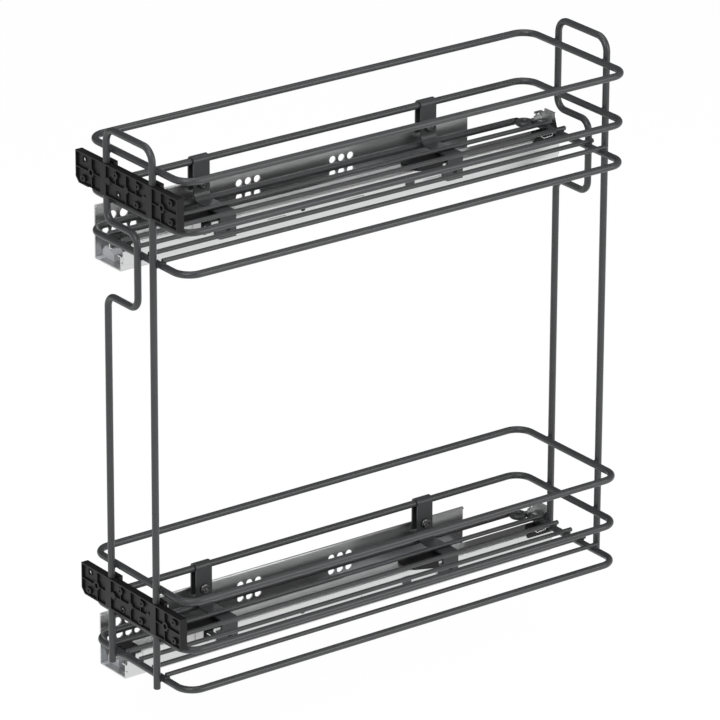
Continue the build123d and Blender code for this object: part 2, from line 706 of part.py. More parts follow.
def clip_saddle(y, hooked):
    """Plastic block under a clip, with a tongue that runs forwards on the drawer profile."""
    half = CLIP_WIDTH / 2 - SADDLE_INSET
    front = y - CLIP_WIDTH / 2 - SADDLE_REACH
    top = CLIP_RUN_TOP - CLIP_SHEET - WELD_GAP
    x0 = DRAWER_LEFT + SADDLE_TO_EDGE
    x1 = DRAWER_RIGHT - SADDLE_TO_EDGE
    low = DRAWER_TOP + SADDLE_THICK
    under = block(x0, DRAWER_RIGHT - SKIRT_BEND - WELD_GAP, y - half, y + half, DRAWER_TOP, top)
    tongue = block(x0, x1, front, y + half, DRAWER_TOP, low)
    edges = tongue.edges().filter_by(Axis.Z).group_by(Axis.Y)[0]
    saddle = under + fillet(edges, SADDLE_CORNER)
    if hooked:
        start = front + WEDGE_INSET
        rear = y - FOOT_FRONT - LIP_TO_RAIL
        wedge = profile_x(
            [
                (start, low),
                (rear, low),
                (rear, low - WEDGE_REAR_DROP),
                (start, low - WEDGE_FRONT_DROP),
            ],
            DRAWER_RIGHT + WELD_GAP,
            DRAWER_RIGHT + WELD_GAP + WEDGE_THICK,
        )
        bridge_r = DRAWER_RIGHT + WELD_GAP + WEDGE_THICK
        bridge = block(x1 - 1, bridge_r, start, rear, DRAWER_TOP + WELD_GAP, low)
        saddle = saddle + bridge + wedge
    return saddle


def octagon(x, z, radius, y0, y1):
    """Eight-sided boss along Y."""
    face = Plane(origin=(x, at(y0), z), z_dir=(0, 1, 0)) * RegularPolygon(radius, 8)
    return extrude(face, amount=y1 - y0)


def oval(x, z, width, height, y0, y1):
    """Slot-shaped boss along Y."""
    face = Plane(origin=(x, at(y0), z), x_dir=(1, 0, 0), z_dir=(0, 1, 0))
    return extrude(face * SlotOverall(width, height), amount=y1 - y0)


def plate_hollow(y0, y1):
    """Room between a plate's rims, with the plate's own cut corner."""
    x0 = CENTRE_X - PLATE_WIDTH / 2 + PLATE_RIM
    x1 = CENTRE_X + PLATE_WIDTH / 2 - PLATE_RIM
    room = block(x0, x1, y0, y1, PLATE_BOTTOM + PLATE_RIM, PLATE_TOP - PLATE_RIM)
    corner = room.edges().filter_by(Axis.Y).group_by(Axis.Z)[0].sort_by(Axis.X)[0]
    return chamfer(corner, PLATE_CHAMFER - PLATE_RIM / 2)


def leg_channel(x):
    """Groove for a frame leg, open to the plate's rear."""
    width = R + CHANNEL_FIT
    round_part = Pos(x, at(FRONT_LEG_Y), PLATE_MID) * Cylinder(width, PLATE_HEIGHT + 2)
    z0 = PLATE_BOTTOM - 1
    return round_part + block(x - width, x + width, FRONT_LEG_Y, PLATE_REAR + 1, z0, PLATE_TOP + 1)


def front_plate(notched):
    """Ribbed plastic plate that carries the door front."""
    x0 = CENTRE_X - PLATE_WIDTH / 2
    x1 = CENTRE_X + PLATE_WIDTH / 2
    z0 = PLATE_BOTTOM
    z1 = PLATE_TOP
    y0 = PLATE_FRONT
    y1 = PLATE_REAR
    floor_front = y0 + PLATE_POCKET
    floor_rear = floor_front + PLATE_FLOOR
    whole = block(x0, x1, y0, y1, z0, z1)
    corner = whole.edges().filter_by(Axis.Y).group_by(Axis.Z)[0].sort_by(Axis.X)[0]
    whole = chamfer(corner, PLATE_CHAMFER)
    plate = whole - [plate_hollow(y0 - 1, floor_front), plate_hollow(floor_rear, y1 + 1)]
    half = PLATE_RIB / 2
    edge = PLATE_RIM / 2
    ribs = [block(x0 + edge, x1 - edge, y0, y1, PLATE_MID - half, PLATE_MID + half)]
    for x in RIB_PLACES:
        place = CENTRE_X + x
        ribs.append(block(place - half, place + half, y0, y1, z0 + edge, z1 - edge))
    for x in HALF_RIB_PLACES:
        place = CENTRE_X + x
        ribs.append(block(place - half, place + half, y0, y1, PLATE_MID, z1 - edge))
    for x in (LEG_LEFT, LEG_RIGHT):
        ribs.append(block(x - LEG_LAND / 2, x + LEG_LAND / 2, y0, y1, z0, z1))
    for x in (-SMALL_BOSS_SPREAD, 0.0, SMALL_BOSS_SPREAD):
        ribs.append(octagon(CENTRE_X + x, PLATE_MID, SMALL_BOSS_RADIUS, y0, y1))
    for x in (-PANEL_SPREAD / 2, PANEL_SPREAD / 2):
        ribs.append(octagon(CENTRE_X + x, PLATE_MID, BOSS_RADIUS, y0, y1))
    places = [(x, True) for x in HIGH_OVALS] + [(x, False) for x in LOW_OVALS]
    cuts = []
    for x, is_high in places:
        z = HIGH_OVAL_Z if is_high else LOW_OVAL_Z
        if (x, is_high) in PIN_HOLES:
            start = floor_front - PIN_RING_HEIGHT
            ribs.append(oval(CENTRE_X + x, z, OVAL_WIDTH, OVAL_HEIGHT, start, floor_rear))
            cuts.append(bar_y(CENTRE_X + x, y0 - 1, y1 + 1, z, PIN_HOLE_RADIUS))
        else:
            ribs.append(oval(CENTRE_X + x, z, OVAL_WIDTH, OVAL_HEIGHT, y0, y1))
            blind = y0 + OVAL_HOLE_DEPTH
            cuts.append(bar_y(CENTRE_X + x, y0 - 1, blind, z, OVAL_HOLE_RADIUS))
    for rib in ribs:
        plate = plate + rib
    for x in (-PANEL_SPREAD / 2, PANEL_SPREAD / 2):
        cuts.append(bar_y(CENTRE_X + x, y0 - 1, y1 + 1, PLATE_MID, PANEL_HOLE_RADIUS))
    for x in (LEG_LEFT, LEG_RIGHT):
        cuts.append(leg_channel(x))
    if notched:
        notch_l = x0 + NOTCH_INSET
        notch_r = notch_l + NOTCH_WIDTH
        cuts.append(block(notch_l, notch_r, y0 - 1, y1 + 1, z0 - 1, z0 + NOTCH_HEIGHT))
    return plate - cuts


def plate_clamps():
    """Plastic clamps that close the channels behind the two frame legs."""
    group = []
    half = CLAMP_WIDTH / 2
    rear = PLATE_REAR + CLAMP_DEPTH
    for x in (LEG_LEFT, LEG_RIGHT):
        top = PLATE_TOP + CLAMP_RISE
        clamp = block(x - half, x + half, PLATE_REAR, rear, PLATE_BOTTOM, top)
        back = clamp.edges().filter_by(Axis.Z).group_by(Axis.Y)[-1]
        group.append(fillet(back, CLAMP_CORNER))
    return group


def rear_hook(leg_notch):
    """Zinc hook plate behind the drawer profile, with a shelf over the rear wire."""
    y0 = DRAWER_REAR + WELD_GAP
    y1 = y0 + HOOK_SHEET
    x0 = HOOK_LEFT
    x1 = DRAWER_RIGHT - HOOK_INSET
    shoulder = x0 + HOOK_SHOULDER_WIDTH
    plate = profile_y(
        [
            (x0, HOOK_LOW),
            (x0, HOOK_SHOULDER),
            (shoulder, HOOK_SHOULDER),
            (shoulder, HOOK_TOP),
            (x1 - HOOK_SLOPE, HOOK_TOP),
            (x1, HOOK_BEND_LEVEL),
            (x1, HOOK_LOW),
        ],
        y0,
        y1,
    )
    shelf_z = R + WELD_GAP
    shelf_front = RING_DEPTH - SHELF_REACH
    shelf_top = shelf_z + HOOK_SHEET
    shelf = block(x0, x0 + SHELF_WIDTH, shelf_front, y1, shelf_z, shelf_top)
    lug_front = RING_DEPTH - LUG_REACH
    lug = block(x0, x0 + HOOK_SHEET, lug_front, y1, shelf_z, HOOK_SHOULDER)
    cuts = []
    for i in range(2):
        y = y0 - LUG_HOLE_RADIUS - HOOK_SHEET / 2 - i * LUG_HOLE_PITCH
        z = (shelf_top + HOOK_SHOULDER) / 2
        cuts.append(bar_x(x0 - 1, x0 + HOOK_SHEET + 1, y, z, LUG_HOLE_RADIUS))
    if leg_notch:
        room = R + LEG_CLEAR
        low = -REAR_LEG_DROP - LEG_CLEAR
        cuts.append(block(LEG_LEFT - room, LEG_LEFT + room, y0 - 1, y1 + 1, low, HOOK_TOP + 1))
    return plate + shelf + lug - cuts


def rear_cap():
    """Black plastic cap on the drawer profile's rear end, with a cheek on its right wall."""
    x1 = DRAWER_RIGHT + WELD_GAP + CAP_SIDE
    y1 = RING_DEPTH - R - RING_CLEAR
    cap = block(DRAWER_RIGHT - CAP_WIDTH, x1, RING_DEPTH - CAP_REACH, y1, DRAWER_TOP, CAP_TOP)
    cap = chamfer(cap.edges().group_by(Axis.Z)[-1], CAP_CHAMFER)
    low = DRAWER_TOP - CAP_SIDE_DROP
    cheek_l = DRAWER_RIGHT + WELD_GAP
    front = RING_DEPTH - CAP_SIDE_REACH
    cheek = block(cheek_l, x1, front, y1, low, DRAWER_TOP + 1)
    tail = block(cheek_l, x1, front, DRAWER_REAR - RING_CLEAR, low, -R - RING_CLEAR)
    hollow_l = DRAWER_RIGHT - CAP_WIDTH + CAP_HOLLOW_WALL
    hollow_r = DRAWER_RIGHT - CAP_HOLLOW_WALL
    hollow_front = RING_DEPTH - CAP_REACH + CAP_HOLLOW_WALL
    hollow_rear = hollow_front + CAP_HOLLOW_LENGTH
    hollow_low = CAP_TOP - CAP_HOLLOW_DEPTH
    hollow = block(hollow_l, hollow_r, hollow_front, hollow_rear, hollow_low, CAP_TOP + 1)
    return cap + cheek + tail - hollow


def eyelet():
    """Flat wire eye that closes the bottom ring's rear left corner."""
    mean = EYELET_RADIUS - EYELET_WIRE / 2
    place = Pos(LEFT + EYELET_INSET, at(RING_DEPTH - EYELET_INSET), 0)
    return place * Torus(mean, EYELET_WIRE / 2)


def latch_block():
    """White plastic latch block on the drawer profile's right wall."""
    x0 = DRAWER_RIGHT
    y0 = LATCH_REAR - LATCH_LENGTH
    low = DRAWER_TOP - LATCH_DROP
    high = DRAWER_TOP + LATCH_RISE
    body = block(x0, x0 + LATCH_THICK, y0, LATCH_REAR, low, high)
    front = body.edges().filter_by(Axis.Z).group_by(Axis.X)[-1]
    groove_y = y0 + LATCH_SPLIT
    groove_x = x0 + LATCH_THICK - LATCH_GROOVE_DEPTH
    groove_rear = groove_y + LATCH_GROOVE
    groove = block(groove_x, x0 + LATCH_THICK + 1, groove_y, groove_rear, low - 1, high + 1)
    return chamfer(front, LATCH_CHAMFER) - groove


def latch_lever():
    """Black lever with a pin that turns in the drawer profile's wall."""
    x0 = DRAWER_RIGHT + LEVER_GAP
    x1 = x0 + LEVER_THICK
    tip = LATCH_PIVOT - LEVER_LENGTH
    low = LEVER_Z - LEVER_DROP
    high = LEVER_Z + LEVER_RISE
    arm = block(x0, x1, tip, LATCH_PIVOT, low, high)
    hub = bar_x(x0, x1, LATCH_PIVOT, LEVER_Z, LEVER_HUB)
    pad = block(x0, x1 + LEVER_PAD, tip, tip + LEVER_PAD_LENGTH, low, high)
    radius = LEVER_PIN / 2 - LEVER_FIT
    pin = bar_x(DRAWER_RIGHT - SHEET - LEVER_PIN_END, x0, LATCH_PIVOT, LEVER_Z, radius)
    return arm + hub + pad + pin


def front_nose():
    """Light plastic guide nose on the bracket's web, left of the rail."""
    x0 = SHEET + WALL_CLEAR
    x1 = RAIL_LEFT - RAIL_CLEAR
    peak = x0 + NOSE_PEAK
    y0 = BRACKET_FRONT + NOSE_FRONT
    left_top = (WEB_TOP + NOSE_TOP) / 2
    outline = [
        (x0, WEB_TOP),
        (x0, left_top),
        (peak - NOSE_CORNER, NOSE_TOP),
        (peak, NOSE_TOP),
        (x1, NOSE_RIGHT_TOP),
        (x1, WEB_TOP),
    ]
    nose = profile_y(outline, y0, y0 + NOSE_LENGTH)
    top = nose.edges().filter_by(Axis.Y).group_by(Axis.Z)[-1]
    nose = fillet(top, NOSE_CORNER / 2)
    tongue_front = BRACKET_FRONT + TONGUE_INSET
    tongue = block(x0, peak, tongue_front, y0 + 1, WEB_TOP, WEB_TOP + TONGUE_THICK)
    return nose + tongue


def damper():
    """Soft-close housing, beside the cabinet rail."""
    x0 = DAMPER_LEFT
    x1 = DAMPER_RIGHT
    body = block(x0, x1, DAMPER_FRONT, DAMPER_REAR, WEB_TOP, DAMPER_TOP)
    edges = body.edges().filter_by(Axis.Y)
    body = fillet(edges.group_by(Axis.Z)[-1], DAMPER_CORNER)
    deep = DAMPER_FRONT + DAMPER_BORE_DEPTH
    bore = bar_y((x0 + x1) / 2, DAMPER_FRONT - 1, deep, DAMPER_AXIS, DAMPER_BORE)
    front = DAMPER_FRONT + WINDOW_FRONT
    rear = front + WINDOW_LENGTH
    low = DAMPER_TOP - WINDOW_DEPTH
    left = x0 + WINDOW_INSET
    window = block(left, x1 - WINDOW_INSET, front, rear, low, DAMPER_TOP + 1)
    return body - [bore, window]


def damper_rod():
    """Steel rod of the soft-close unit, pushed in while the rack is shut."""
    x = (DAMPER_LEFT + DAMPER_RIGHT) / 2
    front = DAMPER_FRONT - ROD_SHOWN
    deep = DAMPER_FRONT + DAMPER_BORE_DEPTH - WELD_GAP
    rod = bar_y(x, front, deep, DAMPER_AXIS, ROD_RADIUS)
    tip = bar_y(x, front - ROD_TIP, front, DAMPER_AXIS, ROD_TIP_RADIUS)
    return rod + tip


def rivet_bar(y, radius, low, high):
    """Upright bar on the line of rivets under the rail."""
    x = (RAIL_LEFT + RAIL_RIGHT) / 2
    return Pos(x, at(y), (low + high) / 2) * Cylinder(radius, high - low)


def rivet_holes():
    """Holes for the rivets through the web and the rail's floor."""
    radius = RIVET_RADIUS + RIVET_FIT
    return [rivet_bar(y, radius, WEB_TOP - 2, RAIL_FLOOR + 1) for y in RIVETS]


def rivets():
    """Rivets from below that hold the rail down on the bracket."""
    group = []
    for y in RIVETS:
        shank = rivet_bar(y, RIVET_RADIUS, BRACKET_BOTTOM, RAIL_FLOOR - RIVET_FIT)
        low = BRACKET_BOTTOM - RIVET_HEAD_HEIGHT
        head = rivet_bar(y, RIVET_HEAD_RADIUS, low, BRACKET_BOTTOM)
        edge = head.edges().filter_by(GeomType.CIRCLE).group_by(Axis.Z)[0]
        group.append(shank + fillet(edge, RIVET_HEAD_ROUND))
    return group


for name, level in (("upper", UPPER), ("lower", LOWER)):
    is_lower = name == "lower"
    save(name + "_top_ring", [lift(w, level) for w in ring(TOP_RING_RISE)])
    save(name + "_mid_ring", [lift(w, level) for w in ring(MID_RING_RISE)])
    save(name + "_bottom_ring", [lift(w, level) for w in bottom_ring()])
    save(name + "_floor_wires", [lift(w, level) for w in floor_wires()])
    save(name + "_front_plate", lift(front_plate(not is_lower), level))
    save(name + "_plate_clamps", [lift(c, level) for c in plate_clamps()])
    save(name + "_front_clip", lift(clip(FRONT_CLIP), level))
    save(name + "_rear_clip", lift(clip(REAR_CLIP), level))
    clips = (FRONT_CLIP, REAR_CLIP)
    save(name + "_clip_screws", [lift(clip_screw(y), level) for y in clips])
    saddles = [clip_saddle(FRONT_CLIP, False), clip_saddle(REAR_CLIP, True)]
    save(name + "_clip_saddles", [lift(saddle, level) for saddle in saddles])
    save(name + "_drawer_profile", lift(drawer_profile(), level))
    save(name + "_front_coupling", lift(front_coupling(), level))
    save(name + "_rear_hook", lift(rear_hook(is_lower), level))
    save(name + "_rear_cap", lift(rear_cap(), level))
    save(name + "_eyelet", lift(eyelet(), level))
    save(name + "_latch_block", lift(latch_block(), level))
    save(name + "_latch_lever", lift(latch_lever(), level))
    save(name + "_wall_bracket", lift(wall_bracket(), level))
    save(name + "_cabinet_rail", lift(cabinet_rail(), level))
    save(name + "_rail_rivets", [lift(r, level) for r in rivets()])
    save(name + "_front_nose", lift(front_nose(), level))
    save(name + "_damper", lift(damper(), level))
    save(name + "_damper_rod", lift(damper_rod(), level))
    save(name + "_middle_profile", lift(middle_profile(), level))
    lower_walls = (LOWER_LEFT_WALL, LOWER_RIGHT_WALL)
    upper_walls = (UPPER_LEFT_WALL, UPPER_RIGHT_WALL)
    web = RAIL_FLOOR + CAGE_CLEAR
    cage = ball_cage(*lower_walls, web, web + OUTER_CAGE_SIDE, LOWER_BALL_Z)
    save(name + "_outer_cage", lift(cage, level))
    group = balls(*lower_walls, LOWER_BALL_Z)
    save(name + "_outer_balls", [lift(b, level) for b in group])
    web = MIDDLE_TOP + INNER_CAGE_RISE
    cage = ball_cage(*upper_walls, web, web - INNER_CAGE_SIDE, UPPER_BALL_Z)
    save(name + "_inner_cage", lift(cage, level))
    group = balls(*upper_walls, UPPER_BALL_Z)
    save(name + "_inner_balls", [lift(b, level) for b in group])

save("front_frame", frame(FRONT_LEG_Y, FRONT_LEG_DROP))
save("rear_frame", frame(REAR_LEG_Y, REAR_LEG_DROP))
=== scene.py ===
# %% [markdown]
# # A two-tier pull-out rack, dressed for a photograph
#
# The rack is for cleaning supplies. Two wire baskets hang on bent wire frames, and each
# basket rides on a steel runner screwed to the cabinet's side.
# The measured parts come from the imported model. This lesson gives each of them a
# finish made of nodes and adds the small shapes a workshop leaves behind.

import json
import math

import bpy
import numpy as np
from mathutils import Matrix, Vector


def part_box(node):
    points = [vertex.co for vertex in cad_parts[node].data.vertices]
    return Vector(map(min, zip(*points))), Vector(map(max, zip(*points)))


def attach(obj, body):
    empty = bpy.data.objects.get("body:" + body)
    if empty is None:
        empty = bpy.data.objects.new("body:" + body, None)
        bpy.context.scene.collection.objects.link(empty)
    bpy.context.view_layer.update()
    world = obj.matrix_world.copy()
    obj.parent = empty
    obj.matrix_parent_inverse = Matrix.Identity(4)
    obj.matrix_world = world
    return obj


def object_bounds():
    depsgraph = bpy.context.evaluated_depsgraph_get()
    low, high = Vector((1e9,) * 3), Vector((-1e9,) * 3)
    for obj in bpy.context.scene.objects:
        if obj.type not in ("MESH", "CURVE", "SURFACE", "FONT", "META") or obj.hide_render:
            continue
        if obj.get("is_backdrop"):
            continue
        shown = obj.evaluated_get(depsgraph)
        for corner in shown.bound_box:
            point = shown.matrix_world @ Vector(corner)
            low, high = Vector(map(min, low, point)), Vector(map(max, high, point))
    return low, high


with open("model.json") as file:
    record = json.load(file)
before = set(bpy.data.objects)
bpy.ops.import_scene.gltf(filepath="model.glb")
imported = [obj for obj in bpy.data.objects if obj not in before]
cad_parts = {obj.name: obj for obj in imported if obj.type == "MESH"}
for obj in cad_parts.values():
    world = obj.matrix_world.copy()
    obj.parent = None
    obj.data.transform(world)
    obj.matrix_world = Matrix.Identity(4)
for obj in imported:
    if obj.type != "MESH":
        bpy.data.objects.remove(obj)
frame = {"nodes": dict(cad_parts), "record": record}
nodes = frame["nodes"]
cad_low, cad_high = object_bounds()
print("CAD box", [round(v, 4) for v in cad_low], [round(v, 4) for v in cad_high])

# %% [markdown]
# ## The camera
#
# The rack is seen from the front right and from above, through a very long lens, so
# that parallel wires stay almost parallel. The place and the turn below were fitted to
# lines in the photograph. The photograph has a lens shift that this camera leaves out,
# so some wires lie a few pixels off.

# %% Camera
MM = 0.001
EYE = (3778.6 * MM, -2731.7 * MM, 1910.7 * MM)
AZIMUTH, ELEVATION, ROLL = 53.4511, 22.1720, 0.2671
LENS = 297.96


def camera_axes(azimuth, elevation, roll):
    """Right, up and back vectors of a camera turned round Z, raised and rolled."""
    a, e, r = (math.radians(v) for v in (azimuth, elevation, roll))
    back = Vector((math.sin(a) * math.cos(e), -math.cos(a) * math.cos(e), math.sin(e)))
    right = Vector((math.cos(a), math.sin(a), 0.0))
    up = back.cross(right)
    rolled_right = right * math.cos(r) + up * math.sin(r)
    rolled_up = up * math.cos(r) - right * math.sin(r)
    return rolled_right, rolled_up, back


camera = bpy.data.objects.new("camera", bpy.data.cameras.new("camera"))
bpy.context.collection.objects.link(camera)
right, up, back = camera_axes(AZIMUTH, ELEVATION, ROLL)
turn = Matrix((right, up, back)).transposed().to_4x4()
camera.matrix_world = Matrix.Translation(EYE) @ turn
camera.data.lens = LENS
camera.data.clip_end = 50
bpy.context.scene.camera = camera
print("camera", [round(v, 3) for v in camera.location], "lens", LENS)

# %% [markdown]
# ## Building finishes from nodes
#
# Paint, plastic and zinc all have the same needs: a pattern fixed to the piece, a slow
# change of tone, a fine bump, and edges that catch light because they aren't perfectly
# sharp. Each of these is a node group, built once and placed in every finish with its
# own values. A picture texture would be quicker, but it would stretch along the wires.


# %% Helpers for node groups
def new_group(name, inputs, outputs):
    """Node group with float or vector inputs, given as name: (kind, default)."""
    tree = bpy.data.node_groups.new(name, "ShaderNodeTree")
    for label, (kind, value) in inputs.items():
        socket = tree.interface.new_socket(label, in_out="INPUT", socket_type=kind)
        if value is not None:
            socket.default_value = value
    for label, kind in outputs.items():
        tree.interface.new_socket(label, in_out="OUTPUT", socket_type=kind)
    return tree, tree.nodes.new("NodeGroupInput"), tree.nodes.new("NodeGroupOutput")


def add(tree, kind, values=None, **settings):
    """Add a node, set its properties and put values in its sockets."""
    node = tree.nodes.new(kind)
    for label, value in settings.items():
        setattr(node, label, value)
    for label, value in (values or {}).items():
        node.inputs[label].default_value = value
    return node


FLOAT, VECTOR = "NodeSocketFloat", "NodeSocketVector"


# %% [markdown]
# ### Grain
#
# Powder paint and moulded plastic are slightly pebbled. Two noise textures give a fine
# pebble for the bump and a slow cloud for the tone. The group puts out a height, and
# a cloud value from 0 to 1 that each finish turns into its own colour and roughness.


# %% Grain group
def grain_group():
    """Fine pebble as a height and a slow cloud as a 0 to 1 value."""
    tree, gin, gout = new_group(
        "grain",
        {"Vector": (VECTOR, None), "Pebble": (FLOAT, 900.0), "Cloud": (FLOAT, 25.0)},
        {"Height": FLOAT, "Cloud": FLOAT},
    )
    link = tree.links.new
    pebble = add(tree, "ShaderNodeTexNoise", {"Detail": 3.0, "Roughness": 0.55})
    link(gin.outputs["Vector"], pebble.inputs["Vector"])
    link(gin.outputs["Pebble"], pebble.inputs["Scale"])
    link(pebble.outputs["Fac"], gout.inputs["Height"])
    cloud = add(tree, "ShaderNodeTexNoise", {"Detail": 4.0, "Roughness": 0.6})
    link(gin.outputs["Vector"], cloud.inputs["Vector"])
    link(gin.outputs["Cloud"], cloud.inputs["Scale"])
    spread = add(tree, "ShaderNodeMapRange", {"From Min": 0.3, "From Max": 0.7})
    link(cloud.outputs["Fac"], spread.inputs["Value"])
    link(spread.outputs["Result"], gout.inputs["Cloud"])
    return tree


GRAIN = grain_group()

# %% [markdown]
# ### Drawn lines
#
# The runners are taken for roll-formed, zinc-coated strip, which has fine lines along
# its length and a faint patchwork of zinc crystals. A noise texture stretched fifty
# times along Y draws the lines. A Voronoi texture gives the crystals.


# %% Drawn lines group
def drawn_group():
    """Lines along Y as a 0 to 1 value and as a height, with zinc crystals."""
    tree, gin, gout = new_group(
        "drawn_lines",
        {
            "Vector": (VECTOR, None),
            "Lines": (FLOAT, 900.0),
            "Crystals": (FLOAT, 260.0),
        },
        {"Lines": FLOAT, "Crystals": FLOAT, "Height": FLOAT},
    )
    link = tree.links.new
    stretch = add(tree, "ShaderNodeMapping", {"Scale": (1.0, 0.02, 1.0)})
    link(gin.outputs["Vector"], stretch.inputs["Vector"])
    lines = add(tree, "ShaderNodeTexNoise", {"Detail": 5.0, "Roughness": 0.65})
    link(stretch.outputs["Vector"], lines.inputs["Vector"])
    link(gin.outputs["Lines"], lines.inputs["Scale"])
    spread = add(tree, "ShaderNodeMapRange", {"From Min": 0.35, "From Max": 0.65})
    link(lines.outputs["Fac"], spread.inputs["Value"])
    link(spread.outputs["Result"], gout.inputs["Lines"])
    link(lines.outputs["Fac"], gout.inputs["Height"])
    crystals = add(tree, "ShaderNodeTexVoronoi", {"Randomness": 1.0})
    link(gin.outputs["Vector"], crystals.inputs["Vector"])
    link(gin.outputs["Crystals"], crystals.inputs["Scale"])
    split = add(tree, "ShaderNodeSeparateColor")
    link(crystals.outputs["Color"], split.inputs["Color"])
    link(split.outputs["Red"], gout.inputs["Crystals"])
    return tree


DRAWN = drawn_group()

# %% [markdown]
# ### Soft edges
#
# A folded or moulded edge has a radius of a few tenths of a millimetre and shines as a
# thin line. The Bevel node rounds the normal near an edge, and comparing it with the
# plain normal tells where an edge is, so edges can be a little lighter in colour: partly
# wear, partly a painted highlight.


# %% Soft edge group
EDGE_RADIUS = 0.35 * MM


def edge_group():
    """Rounded normal, and a 0 to 1 value that is 1 on an edge."""
    tree, _, gout = new_group("soft_edges", {}, {"Normal": VECTOR, "Edge": FLOAT})
    link = tree.links.new
    bevel = add(tree, "ShaderNodeBevel", {"Radius": EDGE_RADIUS}, samples=4)
    plain = add(tree, "ShaderNodeNewGeometry")
    dot = add(tree, "ShaderNodeVectorMath", operation="DOT_PRODUCT")
    link(bevel.outputs["Normal"], dot.inputs[0])
    link(plain.outputs["Normal"], dot.inputs[1])
    mask = add(
        tree,
        "ShaderNodeMapRange",
        {"From Min": 0.995, "From Max": 0.8, "To Min": 0.0, "To Max": 1.0},
    )
    link(dot.outputs["Value"], mask.inputs["Value"])
    link(bevel.outputs["Normal"], gout.inputs["Normal"])
    link(mask.outputs["Result"], gout.inputs["Edge"])
    return tree


EDGES = edge_group()

# %% [markdown]
# ## The finishes
#
# Each finish is one material with its own Principled BSDF. Its colour runs between two
# tones by the cloud or the drawn lines, then turns lighter at the edges, partly for wear
# and partly as a painted highlight. Roughness follows the same pattern, so that the
# shine breaks up as it does on the real part.


# %% Finish helpers
def start_material(name, **sockets):
    """Material with a Principled BSDF and object coordinates."""
    material = bpy.data.materials.new(name)
    material.use_nodes = True
    tree = material.node_tree
    shader = tree.nodes["Principled BSDF"]
    for label, value in sockets.items():
        shader.inputs[label.replace("_", " ")].default_value = value
    place = add(tree, "ShaderNodeTexCoord")
    return material, tree, shader, place.outputs["Object"]


def place_group(tree, group, vector=None, **values):
    """Put a node group in a material and set its inputs."""
    node = add(tree, "ShaderNodeGroup", node_tree=group)
    for label, value in values.items():
        node.inputs[label].default_value = value
    if vector is not None:
        tree.links.new(vector, node.inputs["Vector"])
    return node


def two_tone(tree, factor, dark, light):
    """Colour between two tones."""
    mix = add(tree, "ShaderNodeMix", data_type="RGBA")
    mix.inputs["A"].default_value = (*dark, 1)
    mix.inputs["B"].default_value = (*light, 1)
    tree.links.new(factor, mix.inputs["Factor"])
    return mix


def edge_wear_and_painted_highlight(tree, shader, base, edges, wear_and_highlight_colour, amount):
    """Blend a base colour towards an edge colour where the edge value is high."""
    # The lighter edge colour is partly wear and partly a painted highlight.
    scale = add(tree, "ShaderNodeMath", operation="MULTIPLY")
    scale.inputs[1].default_value = amount
    tree.links.new(edges.outputs["Edge"], scale.inputs[0])
    mix = add(tree, "ShaderNodeMix", data_type="RGBA")
    mix.inputs["B"].default_value = (*wear_and_highlight_colour, 1)
    tree.links.new(scale.outputs["Value"], mix.inputs["Factor"])
    tree.links.new(base.outputs["Result"], mix.inputs["A"])
    tree.links.new(mix.outputs["Result"], shader.inputs["Base Color"])


def roughness_range(tree, shader, factor, low, high):
    """Roughness between two values."""
    span = add(tree, "ShaderNodeMapRange", {"To Min": low, "To Max": high})
    tree.links.new(factor, span.inputs["Value"])
    tree.links.new(span.outputs["Result"], shader.inputs["Roughness"])


def raise_bump(tree, shader, height, depth, normal=None):
    """Bump of a given depth in metres."""
    bump = add(tree, "ShaderNodeBump", {"Strength": 1.0, "Distance": depth})
    tree.links.new(height, bump.inputs["Height"])
    if normal is not None:
        tree.links.new(normal, bump.inputs["Normal"])
    tree.links.new(bump.outputs["Normal"], shader.inputs["Normal"])


# %% Painted and moulded finishes
CLOUD_SCALE = 30.0


def grained_finish(name, dark, light, rough, pebble, depth, edge, **sockets):
    """Paint or plastic: cloudy tone, pebbled bump, lighter edges."""
    material, tree, shader, vector = start_material(name, **sockets)
    grain = place_group(tree, GRAIN, vector, Pebble=pebble, Cloud=CLOUD_SCALE)
    edges = place_group(tree, EDGES)
    base = two_tone(tree, grain.outputs["Cloud"], dark, light)
    # Edges turn lighter in colour: partly wear, partly a painted highlight.
    edge_wear_and_painted_highlight(tree, shader, base, edges, edge[0], edge[1])
    roughness_range(tree, shader, grain.outputs["Cloud"], rough[0], rough[1])
    raise_bump(tree, shader, grain.outputs["Height"], depth, edges.outputs["Normal"])
    return material


def grey(value, tint=(1.0, 1.0, 1.0)):
    """Grey of a given linear value with a slight tint."""
    return tuple(value * t for t in tint)


COOL = (0.97, 1.0, 1.05)
GREENISH = (0.99, 1.0, 0.995)
# The last pair in each finish is an edge colour and its share: partly wear, partly a painted
# highlight.
wire_coat = grained_finish(
    "anthracite_wire_coat",
    grey(0.04, COOL),
    grey(0.052, COOL),
    (0.28, 0.38),
    700.0,
    0.00003,
    (grey(0.09), 0.15),
)
clip_coat = grained_finish(
    "anthracite_clip_coat",
    grey(0.034, COOL),
    grey(0.044, COOL),
    (0.32, 0.42),
    900.0,
    0.00002,
    (grey(0.12), 0.35),
)
plate_plastic = grained_finish(
    "black_ribbed_plastic",
    grey(0.004),
    grey(0.007),
    (0.36, 0.48),
    1600.0,
    0.00002,
    (grey(0.03), 0.3),
    Specular_IOR_Level=0.28,
)
screw_coat = grained_finish(
    "dark_plated_screw",
    grey(0.14),
    grey(0.2),
    (0.18, 0.26),
    1500.0,
    0.000005,
    (grey(0.8), 0.9),
    Metallic=1.0,
)
light_plastic = grained_finish(
    "light_grey_plastic",
    grey(0.6, COOL),
    grey(0.68, COOL),
    (0.34, 0.46),
    1500.0,
    0.00002,
    (grey(0.7), 0.3),
)
white_plastic = grained_finish(
    "white_plastic",
    grey(0.66),
    grey(0.74),
    (0.3, 0.42),
    1500.0,
    0.00002,
    (grey(0.85), 0.3),
)
moulded = [wire_coat, clip_coat, plate_plastic, screw_coat, light_plastic, white_plastic]
print("painted and moulded finishes", [m.name for m in moulded])


